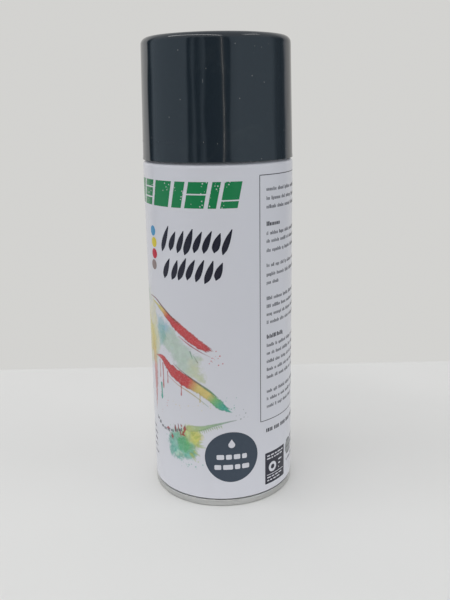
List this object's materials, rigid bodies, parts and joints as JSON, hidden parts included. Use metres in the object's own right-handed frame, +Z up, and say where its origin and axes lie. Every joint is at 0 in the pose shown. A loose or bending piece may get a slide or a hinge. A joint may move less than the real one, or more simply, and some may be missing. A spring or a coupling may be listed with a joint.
{
  "type": "aerosol spray can",
  "caption": "Cylindrical tinplate spray-paint can with a full-width overcap, one-inch valve, turning spray head, bent dip tube and loose mixing balls.",
  "frame": {"origin": "centre of the circle that the base seam stands on", "axes": "+Z up the can's axis to the cap; -Y is the front of the artwork and the way the nozzle points at rest; +X to the right of it"},
  "size_m": [0.0652, 0.0652, 0.2011],
  "materials": {
    "printed_tinplate": "gloss white print with coloured artwork",
    "bare_tinplate": "bright tin, rolled grain",
    "cup_tinplate": "lacquered tin",
    "seam_compound": "matt",
    "gasket_rubber": "matt",
    "valve_plastic": "natural moulded",
    "spring_steel": "drawn wire",
    "tube_plastic": "milky translucent",
    "head_plastic": "fine spark texture",
    "insert_plastic": "moulded",
    "ball_steel": "polished",
    "cap_plastic": "gloss near-black, light handling scuffs"
  },
  "bodies": {
    "container": {"can_body": "printed_tinplate", "bottom_end": "bare_tinplate", "bottom_seam_compound": "seam_compound", "top_cone": "bare_tinplate", "top_seam_compound": "seam_compound", "valve_cup": "cup_tinplate", "cup_gasket": "gasket_rubber", "stem_gasket": "gasket_rubber", "valve_housing": "valve_plastic", "valve_spring": "spring_steel", "dip_tube": "tube_plastic"},
    "cap": {"overcap": "cap_plastic"},
    "stem": {"valve_stem": "valve_plastic"},
    "actuator": {"spray_head": "head_plastic", "nozzle_insert": "insert_plastic"},
    "ball_1": {"mixing_ball_1": "ball_steel"},
    "ball_2": {"mixing_ball_2": "ball_steel"}
  },
  "joints": [
    {"name": "cap_lift", "type": "slide", "parent": "container", "child": "cap", "axis": [0, 0, 1], "range_m": [0, 0.06]},
    {"name": "stem_press", "type": "slide", "parent": "container", "child": "stem", "axis": [0, 0, -1], "range_m": [0, 0.0013], "stiffness_N_per_m": 1500, "springref_m": -0.006, "deforming": ["valve_spring"]},
    {"name": "head_turn", "type": "hinge", "parent": "stem", "child": "actuator", "pos_m": [0, 0, 0.175], "axis": [0, 0, 1], "continuous": true},
    {"name": "ball_1_rattle", "type": "slide", "parent": "container", "child": "ball_1", "axis": [0, 0, 1], "range_m": [0, 0.134]},
    {"name": "ball_2_rattle", "type": "slide", "parent": "container", "child": "ball_2", "axis": [0, 0, 1], "range_m": [0, 0.134]}
  ]
}
